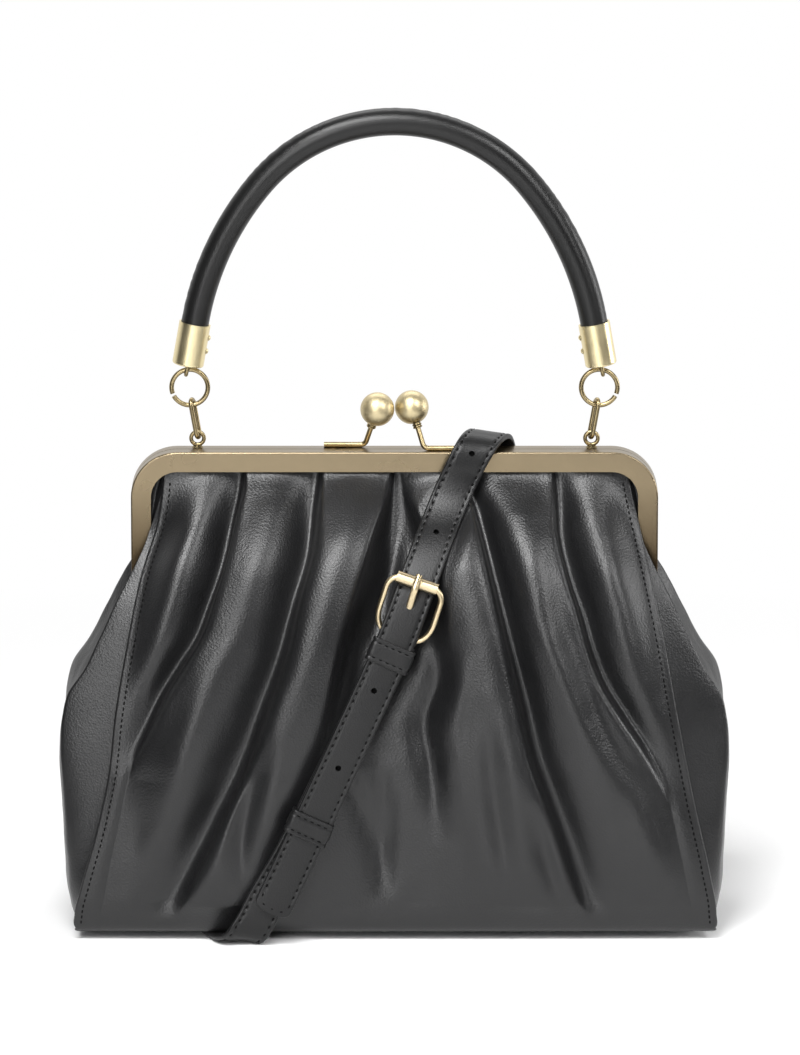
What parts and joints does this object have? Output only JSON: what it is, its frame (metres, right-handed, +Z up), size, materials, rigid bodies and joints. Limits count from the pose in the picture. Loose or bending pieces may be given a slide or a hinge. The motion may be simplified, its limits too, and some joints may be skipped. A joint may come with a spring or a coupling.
{
  "type": "frame purse",
  "caption": "Pleated black leather frame purse with a brass kiss-lock clasp, a rolled top handle on link chains and a buckled shoulder strap laid over the front.",
  "frame": {"origin": "centre of the purse's footprint on the surface that it stands on", "axes": "+X to the viewer's right, +Y to the back of the purse, +Z up"},
  "size_m": [0.3138, 0.1301, 0.3909],
  "materials": {
    "frame_brass": "satin antique brass plating",
    "bright_brass": "polished light brass",
    "body_leather": "smooth black leather with a soft sheen",
    "strap_leather": "black leather, edge stitched",
    "lining_fabric": "black woven lining",
    "board": "stiff base board",
    "cord_fibre": "twisted paper and cotton cord"
  },
  "bodies": {
    "bag_body": {"front_panel": "body_leather", "back_panel": "body_leather", "back_panel_top": "body_leather", "base_panel": "body_leather", "base_board": "board", "base_studs": "frame_brass", "left_gusset": "body_leather", "right_gusset": "body_leather", "lining": "lining_fabric", "slip_pocket": "lining_fabric", "back_frame": "frame_brass", "back_frame_cord": "cord_fibre", "left_hinge_rivet": "frame_brass", "right_hinge_rivet": "frame_brass", "back_clasp_wire": "frame_brass", "back_clasp_ball": "frame_brass", "back_clasp_collar": "frame_brass", "left_eye": "frame_brass", "right_eye": "frame_brass", "left_strap_tab": "body_leather", "right_strap_tab": "body_leather", "strap_tongue": "strap_leather", "strap_buckle_side": "strap_leather", "buckle_chape": "strap_leather", "buckle_frame": "bright_brass", "fixed_keeper": "strap_leather"},
    "front_half": {"front_frame": "frame_brass", "front_frame_cord": "cord_fibre", "front_panel_top": "body_leather", "front_clasp_wire": "frame_brass", "front_clasp_ball": "frame_brass", "front_clasp_collar": "frame_brass"},
    "left_link_body": {"left_link": "frame_brass"},
    "right_link_body": {"right_link": "frame_brass"},
    "left_ring_body": {"left_ring": "frame_brass"},
    "right_ring_body": {"right_ring": "frame_brass"},
    "handle": {"handle_cover": "body_leather", "handle_core": "cord_fibre", "left_ferrule": "bright_brass", "right_ferrule": "bright_brass", "left_ferrule_screws": "bright_brass", "right_ferrule_screws": "bright_brass", "left_staple": "bright_brass", "right_staple": "bright_brass"},
    "left_strap_ring_body": {"left_strap_ring": "frame_brass"},
    "right_strap_ring_body": {"right_strap_ring": "frame_brass"},
    "roller": {"buckle_roller": "bright_brass"},
    "prong": {"buckle_prong": "bright_brass"},
    "loose_keeper": {"sliding_keeper": "strap_leather"}
  },
  "joints": [
    {"name": "frame_hinge", "type": "hinge", "parent": "bag_body", "child": "front_half", "pos_m": [0, 0, 0.165], "axis": [1, 0, 0], "range_deg": [0, 60], "deforming": ["strap_tongue"]},
    {"name": "left_link_swing", "type": "hinge", "parent": "bag_body", "child": "left_link_body", "pos_m": [-0.0935, 0.00435, 0.23545], "axis": [1, 0, 0], "range_deg": [-65, 45]},
    {"name": "right_link_swing", "type": "hinge", "parent": "bag_body", "child": "right_link_body", "pos_m": [0.0935, 0.00435, 0.23545], "axis": [1, 0, 0], "range_deg": [-65, 45]},
    {"name": "left_ring_swing", "type": "hinge", "parent": "left_link_body", "child": "left_ring_body", "pos_m": [-0.0958, 0.00435, 0.24845], "axis": [1, 0, 0], "range_deg": [-45, 45]},
    {"name": "handle_swing", "type": "hinge", "parent": "left_ring_body", "child": "handle", "pos_m": [-0.0984, 0.00435, 0.26545], "axis": [1, 0, 0], "range_deg": [-40, 45]},
    {"name": "right_ring_swing", "type": "hinge", "parent": "handle", "child": "right_ring_body", "pos_m": [0.0984, 0.00435, 0.26545], "axis": [1, 0, 0], "range_deg": [-45, 40]},
    {"name": "left_strap_ring_swing", "type": "hinge", "parent": "bag_body", "child": "left_strap_ring_body", "pos_m": [-0.104, 0.0426, 0.148], "axis": [1, 0, 0], "range_deg": [0, 90], "deforming": ["strap_buckle_side"]},
    {"name": "right_strap_ring_swing", "type": "hinge", "parent": "bag_body", "child": "right_strap_ring_body", "pos_m": [0.104, 0.0426, 0.148], "axis": [1, 0, 0], "range_deg": [0, 90]},
    {"name": "buckle_roller_spin", "type": "hinge", "parent": "bag_body", "child": "roller", "pos_m": [0.01076, -0.04859, 0.17356], "axis": [0.9454, -0.1219, -0.3024], "continuous": true},
    {"name": "buckle_prong_lift", "type": "hinge", "parent": "bag_body", "child": "prong", "pos_m": [0.00256, -0.04862, 0.14794], "axis": [0.9454, -0.1219, -0.3024], "range_deg": [0, 60]},
    {"name": "keeper_slide", "type": "slide", "parent": "bag_body", "child": "loose_keeper", "axis": [0.4176, 0.0122, 0.9086], "range_m": [-0.008, 0.026]}
  ],
  "couplings": [
    {"joint": "right_link_swing", "follows": "left_link_swing", "ratio": 1},
    {"joint": "right_ring_swing", "follows": "handle_swing", "ratio": -1}
  ]
}
